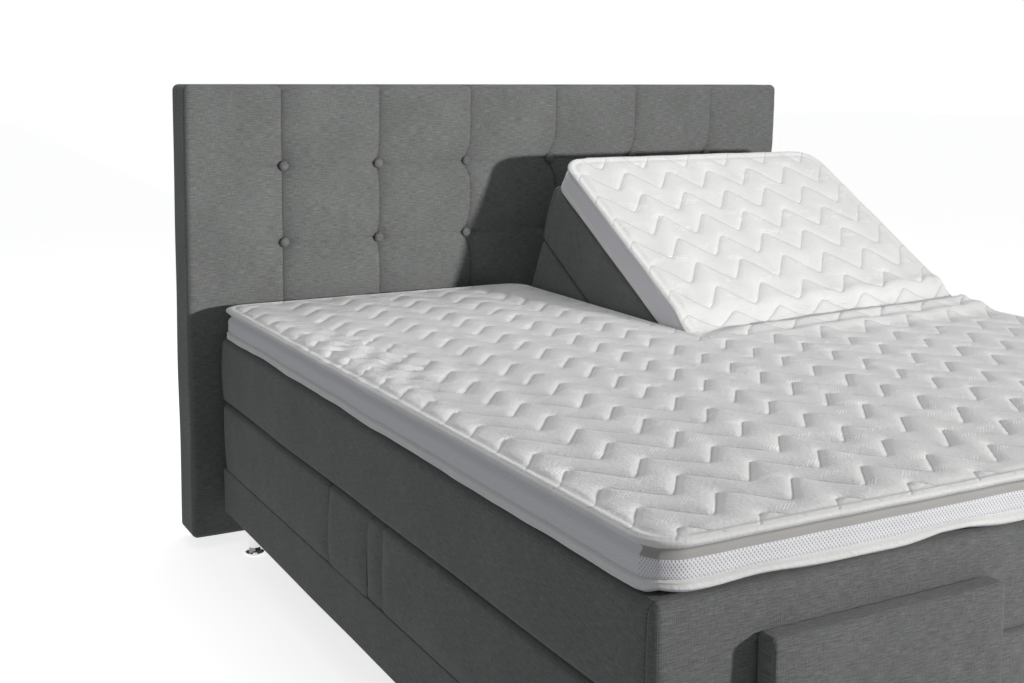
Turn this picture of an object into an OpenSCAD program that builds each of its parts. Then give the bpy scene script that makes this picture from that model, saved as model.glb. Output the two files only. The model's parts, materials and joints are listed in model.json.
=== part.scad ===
// Adjustable boxspring bed for two sleepers: a tufted headboard, two fixed base frames on
// chrome legs, and on each frame four padded sections (back, seat, thigh, calf) that carry
// the mattress. A topper, split at the head end only, covers both mattresses.
// The right back section rests in a raised position, and every other section lies flat.
// Origin: on the floor, in the middle of the bed's outline. +X right, +Y to the head, +Z up.

/* [Bed] */
// Centre distance from the bed's middle line to the outer side of one half
half_w = 900; // [800:10:1000]
// Gap between the two halves
half_gap = 10; // [6:1:16]
// Length of the mattresses
bed_len = 2000; // [1960:10:2100]
// Height of the legs
leg_h = 109; // [80:1:150]
// Height of the fixed fabric rail
rail_h = 119; // [90:1:140]
// Height of the padded sections on the rail
section_h = 179; // [165:1:200]
// Thickness of the mattress
mattress_h = 176; // [140:1:200]
// Thickness of the topper
topper_h = 84; // [50:1:100]

/* [Sections] */
// Length of the back section, from the head end to its hinge
back_len = 785; // [740:5:820]
// Length of the fixed seat section
seat_len = 251; // [240:1:280]
// Length of the thigh section
thigh_len = 364; // [330:1:400]
// How far the back section stops short of the mattress's head end
back_inset = 30; // [20:5:60]

/* [Motion] */
// Angle at which the right back section rests
rest_angle = 31; // [0:1:45]
// Steepest angle of a back section
back_max = 45; // [45:1:50]
// Steepest angle of the thigh sections
thigh_max = 25; // [20:1:25]
// How many times further the calf section turns than the thigh section
knee_ratio = 1.6; // [1.4:0.05:1.6]

/* [Headboard] */
// Width of the headboard
hb_w = 1954; // [1900:2:2000]
// Height of the headboard's lower edge over the floor
hb_low = 28; // [20:1:60]
// Height of the headboard's upper edge over the floor
hb_top = 1246; // [1100:2:1300]
// Thickness of the headboard with its padding
hb_t = 130; // [110:1:150]
// Gap between the mattresses and the headboard
hb_gap = 40; // [30:1:60]
// Thickness of the headboard's wooden core
core_t = 38; // [30:1:50]
// Diameter of a tufting button
button_d = 24; // [20:1:30]
// Distance between two columns of buttons
button_dx = 286; // [270:1:290]
// Distance between two rows of buttons
button_dz = 209; // [190:1:220]
// Distance from the headboard's upper edge to the first row of buttons
button_top = 219; // [200:1:240]

/* [Foot panels] */
// Width of a foot panel
panel_w = 437; // [400:1:480]
// Distance from a foot panel's outer edge to the bed's side
panel_side = 187; // [150:1:230]
// Height of a foot panel
panel_h = 282; // [240:2:300]
// Thickness of a foot panel
panel_t = 40; // [30:1:50]

/* [Legs] */
// Diameter of a leg's tube
leg_d = 30; // [25:1:45]
// Diameter of a leg's foot
foot_d = 50; // [45:1:60]
// Distance from a leg to the side of its half
leg_side = 63; // [60:1:80]
// Distance from a leg to the end of the frame
leg_end = 59; // [55:1:70]

/* [Hidden] */
$fn = 64;
eps = 0.01;

// Heights
z_rail = leg_h + rail_h;
z_deck = z_rail + section_h;
z_mattress = z_deck + mattress_h;
z_topper = z_mattress + topper_h;
hinge_z = z_deck - 7;
lift_gap = 2;

// Places along the bed
panel_stand = 5;
outline_len = bed_len + hb_gap + hb_t + panel_t + panel_stand;
y_foot = -outline_len / 2 + panel_t + panel_stand;
y_head = y_foot + bed_len;
y_hb = y_head + hb_gap;
y_back = y_head - back_len;
y_thigh = y_back - seat_len;
y_knee = y_thigh - thigh_len;

// Places across one half, and the clearance on each side of a hinge axis
half_mid = (half_w + half_gap / 2) / 2;
half_body = half_w - half_gap / 2;
hinge_gap = 7;
knee_angle = knee_ratio * thigh_max / 2 + 0.5;

// Steel
steel = "dimgray";
black = "black";
fabric = "dimgray";
ticking = "whitesmoke";
rail_t = 40;
channel_w = 200;
channel_h = 130;

// Levers and rods: a lever turns with its section, and the rod's pin pushes in its slot
lever_r = 110;
back_swing = back_max / 2;
thigh_swing = thigh_max / 2;
pin_d = 10;
pin_play = 2.5;
rod_x = 45;
rod_z = hinge_z - lever_r;
back_stroke = 2 * lever_r * tan(back_swing);
leg_stroke = 2 * lever_r * tan(thigh_swing);
rod_len = 170;
tube_len = 150;
motor_len = 90;

// A profile in the Y-Z plane, drawn out to width w around x
module profile(x, w, points) {
    translate([x, 0, 0])
        rotate([90, 0, 90])
            linear_extrude(w, center = true)
                polygon(points);
}

// A box from one corner to the other
module block(low, high) {
    translate(low) cube(high - low);
}

// A rod along X, around the point [y, z]
module cross_rod(x, y, z, d, w) {
    translate([x, y, z]) rotate([0, 90, 0]) cylinder(d = d, h = w, center = true);
}

// Turns its children about an axis along X
module turned(y, z, angle) {
    translate([0, y, z]) rotate([angle, 0, 0]) translate([0, -y, -z]) children();
}

// Where the back section of side s rests: -1 is left, 1 is right
function back_angle(s) = s > 0 ? rest_angle : 0;
module on_back(s) {
    turned(y_back, hinge_z, back_angle(s)) children();
}

// ---- Headboard -------------------------------------------------------------

module headboard_core() {
    color("burlywood")
        block([-hb_w / 2 + 12, y_hb + hb_t - core_t - 3, hb_low + 12],
              [hb_w / 2 - 12, y_hb + hb_t - 3, hb_top - 12]);
}

// The padding covers the core's front and wraps round its edges
module headboard_pad() {
    color(fabric)
        difference() {
            block([-hb_w / 2, y_hb, hb_low], [hb_w / 2, y_hb + hb_t - 3, hb_top]);
            block([-hb_w / 2 + 12, y_hb + hb_t - core_t - 3, hb_low + 12],
                  [hb_w / 2 - 12, y_hb + hb_t, hb_top - 12]);
        }
}

module headboard_buttons() {
    color(fabric)
        for (column = [-2.5 : 2.5], row = [0 : 2])
            translate([column * button_dx, y_hb, hb_top - button_top - row * button_dz])
                rotate([90, 0, 0]) cylinder(d1 = button_d, d2 = button_d * 0.7, h = 6);
}

module headboard_back_cloth() {
    color(black)
        block([-hb_w / 2 + 8, y_hb + hb_t - 3, hb_low + 8],
              [hb_w / 2 - 8, y_hb + hb_t, hb_top - 8]);
}

// Steel brackets between the frames' head rails and the headboard
module headboard_brackets() {
    bracket_z = leg_h + rail_h / 2;
    color(steel)
        for (s = [-1, 1], x = [-1, 1]) {
            mid = s * half_mid + x * 280;
            block([mid - 40, y_head, bracket_z - 40], [mid + 40, y_head + 4, bracket_z + 40]);
            block([mid - 3, y_head, bracket_z - 40], [mid + 3, y_hb, bracket_z + 40]);
            block([mid - 40, y_hb - 4, bracket_z - 40], [mid + 40, y_hb, bracket_z + 40]);
        }
}

// ---- Frames ----------------------------------------------------------------

// Two upholstered side rails
module side_rails(s) {
    color(fabric)
        for (x = [half_gap / 2, half_w - rail_t])
            translate([s > 0 ? x : -x - rail_t, 0, 0])
                block([0, y_foot, leg_h], [rail_t, y_head, z_rail]);
}

// Upholstered head and foot rails with the planks that hold the legs, and two cross beams
module cross_rails(s) {
    inner = half_body - 2 * rail_t;
    plank = 120;
    color(fabric)
        translate([s * half_mid, 0, 0])
            for (end = [-1, 1]) {
                y = end > 0 ? y_head : y_foot;
                profile(0, inner, [
                    [y, leg_h], [y, z_rail], [y - end * rail_t, z_rail],
                    [y - end * rail_t, leg_h + 25], [y - end * plank, leg_h + 25],
                    [y - end * plank, leg_h]
                ]);
                block([-inner / 2, beam_y(end) - 30, leg_h + 40],
                      [inner / 2, beam_y(end) + 30, z_rail]);
            }
}

// Middle of the cross beam that holds the leg motor (1) or the back motor (-1)
function beam_y(end) = end > 0
    ? y_thigh + leg_rod_y() + tube_len + motor_len + 80
    : y_back - leg_rod_y() - tube_len - motor_len - 85;
function leg_rod_y() = 90;

// A chrome leg: a plate, a tube and a flared foot
module leg(x, y) {
    color("silver")
        translate([x, y, 0])
            rotate_extrude()
                polygon([
                    [0, 0], [foot_d / 2 - 2, 0], [foot_d / 2, 2], [foot_d / 2, 6],
                    [foot_d / 2 - 4, 9], [leg_d / 2 + 3, 12], [leg_d / 2, 20],
                    [leg_d / 2, leg_h - 4], [38, leg_h - 4], [38, leg_h], [0, leg_h]
                ]);
}

// The four legs of a half: 1 and 2 at the head, 3 and 4 at the foot, odd ones outside
module leg_of(s, number) {
    outside = number % 2 == 1;
    x = outside ? half_w - leg_side : half_gap / 2 + leg_side - 5;
    y = number < 3 ? y_head - leg_end : y_foot + leg_end;
    leg(s * x, y);
}

// Plates that tie the two frames together
module frame_connectors() {
    color(steel)
        for (y = [y_foot + 200, y_head - 200]) {
            block([-70, y - 20, leg_h - 5], [70, y + 20, leg_h]);
            for (x = [-30, 30])
                translate([x, y, leg_h - 11]) cylinder(d = 14, h = 6);
        }
}

// The motors' control box, with a mains inlet in its side, on the back motor's beam
module control_box() {
    low = [-half_mid - 300, beam_y(-1) - 90, leg_h + 50];
    high = [-half_mid - 130, beam_y(-1) - 30, z_rail - 15];
    color(black)
        difference() {
            block(low, high);
            block([low[0] - eps, low[1] + 18, low[2] + 14], [low[0] + 14, low[1] + 42, low[2] + 32]);
        }
}

// ---- Padded sections -------------------------------------------------------

// A section with a channel for the motors along its underside
module section(s, points) {
    color(fabric)
        difference() {
            profile(s * half_mid, half_body, points);
            block([s * half_mid - channel_w / 2, y_foot + 120, z_rail - 1],
                  [s * half_mid + channel_w / 2, y_head - 120, z_rail + channel_h]);
        }
}

module back_box(s) {
    y0 = y_back + hinge_gap;
    y1 = y_head - back_inset;
    round = 34;
    on_back(s)
        section(s, concat(
            [[y0, z_rail + lift_gap], [y0, z_deck]],
            [for (a = [90 : -15 : 0])
                [y1 - round + round * cos(a), z_deck - round + round * sin(a)]],
            [[y1 + 8, z_rail + lift_gap]]
        ));
}

module seat_box(s) {
    section(s, [
        [y_thigh + hinge_gap, z_rail], [y_thigh + hinge_gap, z_deck],
        [y_back - hinge_gap, z_deck], [y_back - hinge_gap, z_rail]
    ]);
}

// Room below the knee hinge for the two sections to fold towards each other
function knee_cut(z) = hinge_gap / cos(knee_angle) + (hinge_z - z) * tan(knee_angle);

module thigh_box(s) {
    low = z_rail + lift_gap;
    section(s, [
        [y_thigh - hinge_gap, low], [y_thigh - hinge_gap, z_deck],
        [y_knee + hinge_gap, z_deck], [y_knee + knee_cut(hinge_z), hinge_z],
        [y_knee + knee_cut(low), low]
    ]);
}

module calf_box(s) {
    low = z_rail + lift_gap;
    section(s, [
        [y_knee - knee_cut(low), low], [y_knee - knee_cut(hinge_z), hinge_z],
        [y_knee - hinge_gap, z_deck], [y_foot, z_deck], [y_foot, low]
    ]);
}

// ---- Mattresses and topper -------------------------------------------------

// Distance from a hinge's plane to the soft layer beside it, at height z
function notch(z, angle) = 2 + (z - hinge_z) * tan(angle / 2 + 0.5);

// One soft layer from z0 to z1 between y = a and y = b; each end leans away from its
// hinge by half of that hinge's largest angle
module soft_layer(x, w, z0, z1, a, a_angle, b, b_angle) {
    profile(x, w, [
        [a + notch(z0, a_angle), z0], [a + notch(z1, a_angle), z1],
        [b - notch(z1, b_angle), z1], [b - notch(z0, b_angle), z0]
    ]);
}

// Ends that meet no hinge, or one that opens upwards, stand upright
upright = -1;

module mattress(s, a, a_angle, b, b_angle) {
    color(fabric)
        soft_layer(s * half_mid, half_body, z_deck, z_mattress, a, a_angle, b, b_angle);
}

module back_mattress(s) {
    on_back(s) mattress(s, y_back, back_max, y_head + 2, upright);
}
module seat_mattress(s) {
    mattress(s, y_thigh, thigh_max, y_back, back_max);
}
module thigh_mattress(s) {
    mattress(s, y_knee, upright, y_thigh, thigh_max);
}
module calf_mattress(s) {
    mattress(s, y_foot - 2, upright, y_knee, upright);
}

module topper(x, w, a, a_angle, b, b_angle) {
    color(ticking)
        soft_layer(x, w, z_mattress + 1, z_topper, a, a_angle, b, b_angle);
}

module back_topper(s) {
    on_back(s)
        topper(s * half_mid, half_body - 2, y_back, back_max, y_head, upright);
}
module seat_topper() {
    topper(0, 2 * half_w - 4, y_thigh, thigh_max, y_back, back_max);
}
module thigh_topper() {
    topper(0, 2 * half_w - 4, y_knee, upright, y_thigh, thigh_max);
}
module calf_topper() {
    topper(0, 2 * half_w - 4, y_foot, upright, y_knee, upright);
}

// ---- Hinges ----------------------------------------------------------------

hinge_x = 250;
knuckle_d = 12;
knuckle_w = 20;
hinge_pin_d = 6;
leaf_h = 60;
leaf_t = 3;

// A hinge leaf beside the axis [y, z], on side "side" of it (1 towards the head). The fixed
// leaf has the two outer knuckles and the pin, and the moving leaf the middle knuckle.
module leaf(y, z, side, fixed, lean) {
    knuckles = fixed ? [-knuckle_w - 1, knuckle_w + 1] : [0];
    face = side > 0 ? hinge_gap - leaf_t : -hinge_gap;
    turned(y, z, lean)
        for (x = [-hinge_x, hinge_x]) {
            block([x - 30, y + face, z - leaf_h], [x + 30, y + face + leaf_t, z - 12]);
            for (k = knuckles)
                difference() {
                    union() {
                        cross_rod(x + k, y, z, knuckle_d, knuckle_w);
                        block([x + k - knuckle_w / 2, y + face, z - 13],
                              [x + k + knuckle_w / 2, y + face + leaf_t, z]);
                    }
                    cross_rod(x + k, y, z, hinge_pin_d + 0.1, knuckle_w + 1);
                }
            if (fixed) cross_rod(x, y, z, hinge_pin_d, 3 * knuckle_w + 6);
        }
}

// Fixed leaves on the seat section, for the back and thigh hinges
module fixed_hinges(s) {
    color(steel)
        translate([s * half_mid, 0, 0]) {
            leaf(y_back, hinge_z, -1, true, 0);
            leaf(y_thigh, hinge_z, 1, true, 0);
        }
}

module calf_hinges(s) {
    color(steel)
        translate([s * half_mid, 0, 0])
            leaf(y_knee, hinge_z, -1, false, -knee_angle);
}

// ---- Levers and motors -----------------------------------------------------

// A lever plate under the hinge [y, z], leaning by angle, with a slot for the rod's pin.
// way is 1 for a lever that hangs from the head side of its hinge.
module lever(y, z, x, way, angle) {
    plate_t = 8;
    reach = lever_r * tan(angle);
    difference() {
        profile(x, plate_t, [
            [y + way * 10, z - 46], [y + way * 60, z - 46], [y + way * 60, z - 70],
            [y - way * (reach - 28), z - lever_r - 22], [y - way * (reach + 14), z - lever_r - 22],
            [y - way * (reach + 20), z - lever_r + 20], [y - way * 2, z - 62]
        ]);
        turned(y, z, -way * angle) {
            slot = [lever_r - 2, lever_r / cos(angle) + 2];
            width = pin_d + 2 * pin_play;
            for (r = slot) cross_rod(x, y, z - r, width, 2 * plate_t);
            block([x - plate_t, y - width / 2, z - slot[1]], [x + plate_t, y + width / 2, z - slot[0]]);
        }
    }
}

// The bar that carries a lever, across the channel's ceiling
module lever_bar(y, way) {
    block([-channel_w / 2, min(y + way * 25, y + way * 60), z_rail + channel_h - 24],
          [channel_w / 2, max(y + way * 25, y + way * 60), z_rail + channel_h]);
}

module back_lever(s) {
    color(steel)
        on_back(s)
            translate([s * half_mid, 0, 0]) {
                leaf(y_back, hinge_z, 1, false, 0);
                lever_bar(y_back, 1);
                lever(y_back, hinge_z, -rod_x, 1, back_swing);
            }
}

// The thigh section's steel: its half of the seat hinge, the knee's fixed leaf, the lever
module thigh_lever(s) {
    color(steel)
        translate([s * half_mid, 0, 0]) {
            leaf(y_thigh, hinge_z, -1, false, 0);
            leaf(y_knee, hinge_z, 1, true, knee_angle);
            lever_bar(y_thigh, -1);
            lever(y_thigh, hinge_z, rod_x, -1, thigh_swing);
        }
}

// Turns its children, which point along +Y, the way that a rod pushes: 1 towards the head
module pushing(x, y, way) {
    translate([x, y, rod_z]) rotate([0, 0, way > 0 ? 0 : 180]) children();
}

// A rod that ends in a fork with a pin at y
module rod(x, y, way) {
    fork_w = 24;
    fork_back = 38;
    slot_back = 30;
    pushing(x, y, way) {
        difference() {
            union() {
                translate([0, 1 - fork_back, 0]) rotate([90, 0, 0]) cylinder(d = 20, h = rod_len);
                translate([-fork_w / 2, -fork_back, -10]) cube([fork_w, fork_back + 12, 20]);
            }
            translate([-5.5, -slot_back, -11]) cube([11, slot_back + 13, 22]);
        }
        cross_rod(0, 0, 0, pin_d, fork_w);
    }
}

// A motor: a guide tube whose mouth is at y_tube, and a gear and motor block behind it
module motor(x, y_tube, way) {
    pushing(x, y_tube, way)
        difference() {
            union() {
                rotate([90, 0, 0]) cylinder(d = 34, h = tube_len + 1);
                translate([-36, -tube_len - motor_len, -42]) cube([72, motor_len, 80]);
            }
            translate([0, 1, 0]) rotate([90, 0, 0]) cylinder(d = 20.1, h = tube_len + 60);
        }
}

// A bracket from a motor's end down to the cross beam
module motor_bracket(x, y_motor, y_beam, way) {
    end = way > 0 ? y_motor - tube_len - motor_len : y_motor + tube_len + motor_len;
    block([x - 20, min(end, y_beam - 30), z_rail], [x + 20, max(end, y_beam + 30), z_rail + 6]);
    block([x - 20, way > 0 ? end - 8 : end, z_rail], [x + 20, way > 0 ? end : end + 8, rod_z + 30]);
}

// The rods' pins: where they are when the sections are flat, and how far the back's has gone
back_pin_flat = y_back - back_stroke / 2;
thigh_pin_flat = y_thigh + leg_stroke / 2;
function back_pin(s) = back_pin_flat + back_stroke * back_angle(s) / back_max;
back_tube = back_pin_flat - 50;
thigh_tube = thigh_pin_flat + 50;

module back_rod(s) {
    color("silver") rod(s * half_mid - rod_x, back_pin(s), 1);
}
module leg_rod(s) {
    color("silver") rod(s * half_mid + rod_x, thigh_pin_flat, -1);
}
module back_motor(s) {
    color(black) {
        motor(s * half_mid - rod_x, back_tube, 1);
        motor_bracket(s * half_mid - rod_x, back_tube, beam_y(-1), 1);
    }
}
module leg_motor(s) {
    color(black) {
        motor(s * half_mid + rod_x, thigh_tube, -1);
        motor_bracket(s * half_mid + rod_x, thigh_tube, beam_y(1), -1);
    }
}

// ---- Foot panels -----------------------------------------------------------

panel_low = z_rail + 17;
panel_mid = half_w - panel_side - panel_w / 2;

module foot_panel(s) {
    color(fabric)
        block([s * panel_mid - panel_w / 2, y_foot - panel_stand - panel_t, panel_low],
              [s * panel_mid + panel_w / 2, y_foot - panel_stand, panel_low + panel_h]);
}

// A steel plate that holds the panel to the calf section's end
module panel_bracket(s) {
    color(steel)
        block([s * panel_mid - 140, y_foot - panel_stand, panel_low + 10],
              [s * panel_mid + 140, y_foot - 0.5, panel_low + panel_h - 30]);
}

// ---- Assembly --------------------------------------------------------------

headboard_core();
headboard_pad();
headboard_buttons();
headboard_back_cloth();
headboard_brackets();
frame_connectors();
control_box();
seat_topper();
thigh_topper();
calf_topper();
for (s = [-1, 1]) {
    side = s < 0 ? "left" : "right";
    side_rails(s);
    cross_rails(s);
    for (number = [1 : 4])
        leg_of(s, number);
    back_box(s);
    seat_box(s);
    thigh_box(s);
    calf_box(s);
    fixed_hinges(s);
    back_lever(s);
    thigh_lever(s);
    calf_hinges(s);
    back_motor(s);
    back_rod(s);
    leg_motor(s);
    leg_rod(s);
    back_mattress(s);
    seat_mattress(s);
    thigh_mattress(s);
    calf_mattress(s);
    foot_panel(s);
    panel_bracket(s);
    back_topper(s);
}
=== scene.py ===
import bmesh
import bpy
import json
import math
import numpy as np
from mathutils import Matrix, Vector


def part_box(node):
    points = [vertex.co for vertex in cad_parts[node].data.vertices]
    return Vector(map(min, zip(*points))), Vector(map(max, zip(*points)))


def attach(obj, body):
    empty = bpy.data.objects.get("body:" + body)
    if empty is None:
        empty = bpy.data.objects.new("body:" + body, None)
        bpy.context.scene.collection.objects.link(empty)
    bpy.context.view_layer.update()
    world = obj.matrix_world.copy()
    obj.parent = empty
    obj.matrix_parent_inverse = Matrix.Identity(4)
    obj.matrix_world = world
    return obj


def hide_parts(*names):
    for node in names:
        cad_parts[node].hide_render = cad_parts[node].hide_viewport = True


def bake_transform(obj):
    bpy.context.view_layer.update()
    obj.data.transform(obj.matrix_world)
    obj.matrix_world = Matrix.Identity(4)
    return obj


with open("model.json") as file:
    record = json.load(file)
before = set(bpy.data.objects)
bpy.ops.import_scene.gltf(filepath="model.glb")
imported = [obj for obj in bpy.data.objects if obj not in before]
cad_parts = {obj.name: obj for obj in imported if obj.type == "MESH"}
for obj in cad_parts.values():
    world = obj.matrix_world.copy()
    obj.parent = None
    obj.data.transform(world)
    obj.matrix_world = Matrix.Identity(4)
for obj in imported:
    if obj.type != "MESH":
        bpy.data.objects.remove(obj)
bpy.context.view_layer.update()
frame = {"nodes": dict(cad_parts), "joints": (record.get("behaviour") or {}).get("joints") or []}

# ----- Places from the frame, in metres
JOINTS = {joint["name"]: joint for joint in frame["joints"]}
Y_BACK, Z_HINGE = JOINTS["back_left_tilt"]["pos_m"][1:]
Y_THIGH = JOINTS["thigh_left_tilt"]["pos_m"][1]
REST = -math.radians(JOINTS["back_right_tilt"]["range_deg"][0])

MATTRESS_LOW, MATTRESS_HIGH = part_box("calf_mattress_left")
X_OUT, X_IN = MATTRESS_LOW.x, MATTRESS_HIGH.x
Y_FOOT = MATTRESS_LOW.y
Y_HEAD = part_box("back_mattress_left")[1].y
Z_RAIL_LOW, Z_RAIL = (corner.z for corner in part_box("side_rails_left"))
Z_DECK, Z_MATTRESS = MATTRESS_LOW.z, MATTRESS_HIGH.z
Z_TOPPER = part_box("calf_topper")[1].z
X_MID = (X_OUT + X_IN) / 2

# Zones along the bed where soft pieces bend, and the cuts between them
CUT_SEAT = Y_BACK - 0.155
FOLD_Y = Y_BACK - (Z_TOPPER - Z_HINGE) * math.tan(REST / 2)
RAISED_ZONE = (Y_BACK - 0.125, Y_BACK + 0.015)
CUT_THIGH = Y_THIGH - 0.150
SIDES = {"left": -1, "right": 1}
TURN = 2 * math.pi

# Quilting of the topper: rows of zigzags, with their period, height, spacing and sharpness (1 is a point)
QUILT_PERIOD, QUILT_SWING, QUILT_ROW, QUILT_BEND = 0.1425, 0.0490, 0.100, 0.945
QUILT_START = (-0.7156, Y_FOOT + 0.010)

# Colours and patterns of the cloths
FABRIC_SHADE, FABRIC_TINT = 0.145, (0.965, 1.0, 0.985)
TICKING_SHADE, QUILT_SHADE, TICKING_TINT = 0.80, 0.78, (1.0, 1.0, 0.995)
# The second colour darkens the quilting lines: the thread's own grey, and painted shade in their sewn grooves
STROKE_COLOUR, THREAD_AND_SHADE_COLOUR = (0.97, 0.97, 0.97, 1), (0.30, 0.30, 0.31, 1)
# The hole colour is painted shade inside the mesh's holes
MESH_KNIT, MESH_HOLE_SHADE = (0.80, 0.80, 0.82), (0.50, 0.50, 0.56)
WEAVE_PITCH, MESH_PITCH, MESH_LEAN = 0.0034, 0.0026, 40
GROOVE_HALF, THREAD_HALF = 0.0045, 0.0015

# Knitted strokes: their cell and their share of each pitch, then each group's half height, half width,
# pitch and slant
STROKE_CELL, STROKE_SHARE = 0.088, 0.40
SHORT_HIGH, SHORT_WIDE, SHORT_PITCH, SHORT_SLANT = 0.0095, 0.0185, 0.0076, -1.15
LONG_HIGH, LONG_WIDE, LONG_PITCH, LONG_SLANT = 0.0085, 0.030, 0.0056, 0.10
LONG_OFFSET = 0.012


# ----- Shader helpers
class Nodes:
    """A short way to write a node material."""

    def __init__(self, name):
        self.material = bpy.data.materials.new(name)
        self.material.use_nodes = True
        self.tree = self.material.node_tree
        self.shader = self.tree.nodes["Principled BSDF"]

    def add(self, kind, values=None, **settings):
        node = self.tree.nodes.new("ShaderNode" + kind)
        for key, value in settings.items():
            setattr(node, key, value)
        for key, value in (values or {}).items():
            self.put(node.inputs[key], value)
        return node

    def put(self, socket, value):
        if hasattr(value, "is_output"):
            self.tree.links.new(value, socket)
        else:
            socket.default_value = value

    def math(self, operation, a, b=0.0, c=0.0):
        node = self.add("Math", operation=operation)
        for socket, value in zip(node.inputs, (a, b, c)):
            self.put(socket, value)
        return node.outputs[0]

    def times(self, a, b, plus=None):
        return self.math("MULTIPLY", a, b) if plus is None else self.math("MULTIPLY_ADD", a, b, plus)

    def minus(self, a, b):
        return self.math("SUBTRACT", a, b)

    def uv(self, scale=(1, 1, 1), rotation=0.0):
        source = self.add("UVMap", uv_map="metres").outputs[0]
        mapping = self.add("Mapping", {"Vector": source, "Scale": scale, "Rotation": (0, 0, rotation)})
        return mapping.outputs[0]

    def split(self, vector):
        return self.add("SeparateXYZ", {"Vector": vector}).outputs[:2]

    def noise(self, vector, scale, detail=2.0, roughness=0.5):
        values = {"Vector": vector, "Scale": scale, "Detail": detail, "Roughness": roughness}
        return self.add("TexNoise", values).outputs["Fac"]

    def wave(self, vector, scale, way="X", distortion=0.0):
        values = {"Vector": vector, "Scale": scale, "Distortion": distortion}
        return self.add("TexWave", values, bands_direction=way).outputs["Fac"]

    def ramp(self, factor, stops):
        node = self.add("ValToRGB", {"Fac": factor})
        elements = node.color_ramp.elements
        while len(elements) < len(stops):
            elements.new(0.5)
        for element, (place, colour) in zip(elements, stops):
            element.position = place
            element.color = (*colour, 1)
        return node.outputs["Color"]

    def mix(self, factor, a, b, blend="MIX"):
        node = self.add("Mix", data_type="RGBA", blend_type=blend)
        self.put(node.inputs["Factor"], factor)
        self.put(node.inputs[6], a)
        self.put(node.inputs[7], b)
        return node.outputs[2]

    def bump(self, height, strength, distance, normal=None):
        values = {"Height": height, "Strength": strength, "Distance": distance}
        if normal is not None:
            values["Normal"] = normal
        return self.add("Bump", values).outputs[0]

    def set(self, **values):
        for key, value in values.items():
            self.put(self.shader.inputs[key.replace("_", " ")], value)
        return self.material


def new_object(name, data):
    """An object of its own in the scene."""
    obj = bpy.data.objects.new(name, data)
    bpy.context.scene.collection.objects.link(obj)
    return obj


def grey(value, tint=(1.0, 1.0, 1.0)):
    return (value * tint[0], value * tint[1], value * tint[2])


def woven_fabric(name):
    """Grey melange upholstery: slubs along the weft, fainter ones along the warp, and a plain weave."""
    n = Nodes(name)
    long_slubs = n.noise(n.uv((38.0, 640.0, 1.0)), 1.0, 3.0, 0.62)
    short_slubs = n.noise(n.uv((150.0, 1500.0, 1.0)), 1.0, 2.0, 0.6)
    warp_slubs = n.noise(n.uv((700.0, 60.0, 1.0)), 1.0, 3.0, 0.6)
    patches = n.noise(n.uv(), 7.0, 3.0, 0.55)
    yarn = n.times(long_slubs, 0.50, n.times(short_slubs, 0.25))
    yarn = n.times(warp_slubs, 0.25, yarn)
    tone = n.times(patches, 0.10, n.times(yarn, 0.90))
    colour = n.ramp(tone, [
        (0.36, grey(FABRIC_SHADE * 0.52, FABRIC_TINT)),
        (0.50, grey(FABRIC_SHADE, FABRIC_TINT)),
        (0.64, grey(FABRIC_SHADE * 1.62, FABRIC_TINT)),
    ])
    warp, weft = (n.wave(n.uv(), 1 / WEAVE_PITCH / math.pi, way, 0.6) for way in "XY")
    weave = n.times(warp, 0.5, n.times(weft, 0.5))
    fine = n.bump(weave, 0.35, 0.0006)
    coarse = n.bump(yarn, 0.6, 0.0014, fine)
    return n.set(Base_Color=colour, Roughness=0.92, Normal=coarse, Sheen_Weight=0.12,
                 Sheen_Roughness=0.5, Specular_IOR_Level=0.15)


def quilt_away(n):
    """Distance in metres to the nearest quilting line, from the flat place on the cover."""
    u, v = n.split(n.uv())
    across = n.minus(u, QUILT_START[0])
    phase = n.times(across, TURN / QUILT_PERIOD)
    bent = n.times(n.math("SINE", phase), QUILT_BEND)
    zigzag = n.times(n.math("ARCSINE", bent), 2 / math.pi * QUILT_SWING)
    along = n.minus(v, QUILT_START[1])
    row = n.math("DIVIDE", n.minus(along, zigzag), QUILT_ROW)
    off = n.math("ABSOLUTE", n.minus(row, n.math("ROUND", row)))
    steep = 4 * QUILT_SWING * QUILT_BEND / QUILT_PERIOD
    flank = n.math("SQRT", n.minus(1.0, n.times(bent, bent)))
    slope = n.math("DIVIDE", n.times(n.math("COSINE", phase), steep), flank)
    length = n.math("SQRT", n.times(slope, slope, 1.0))
    return n.math("DIVIDE", n.times(off, QUILT_ROW), length)


def within(n, value, half):
    """1 where a value lies between -half and half."""
    return n.math("LESS_THAN", n.math("ABSOLUTE", value), half)


def stripes(n, value, pitch, share):
    """1 on evenly spaced stripes that fill a share of their pitch."""
    return n.math("LESS_THAN", n.math("FRACT", n.math("DIVIDE", value, pitch)), share)


def stroke_groups(n):
    """Scattered groups of short slanted strokes and of longer level ones, knitted into the cover."""
    flat = n.uv()
    cells = n.add("TexVoronoi", {"Vector": flat, "Scale": 1 / STROKE_CELL, "Randomness": 0.8}, feature="F1")
    local = n.add("VectorMath", {0: flat, 1: cells.outputs["Position"]}, operation="SUBTRACT").outputs[0]
    u, v = n.split(local)
    pick = n.add("SeparateColor", {"Color": cells.outputs["Color"]}).outputs[0]
    leaning = n.times(v, SHORT_SLANT, u)
    short = n.times(within(n, v, SHORT_HIGH), within(n, leaning, SHORT_WIDE))
    short = n.times(short, stripes(n, leaning, SHORT_PITCH, STROKE_SHARE))
    short = n.times(short, n.math("GREATER_THAN", pick, 0.50))
    level = n.times(u, LONG_SLANT, v)
    shifted = n.minus(level, LONG_OFFSET)
    long = n.times(within(n, u, LONG_WIDE), within(n, shifted, LONG_HIGH))
    long = n.times(long, stripes(n, level, LONG_PITCH, STROKE_SHARE))
    long = n.times(long, within(n, n.minus(pick, 0.50), 0.15))
    return n.math("MAXIMUM", short, long)


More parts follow.
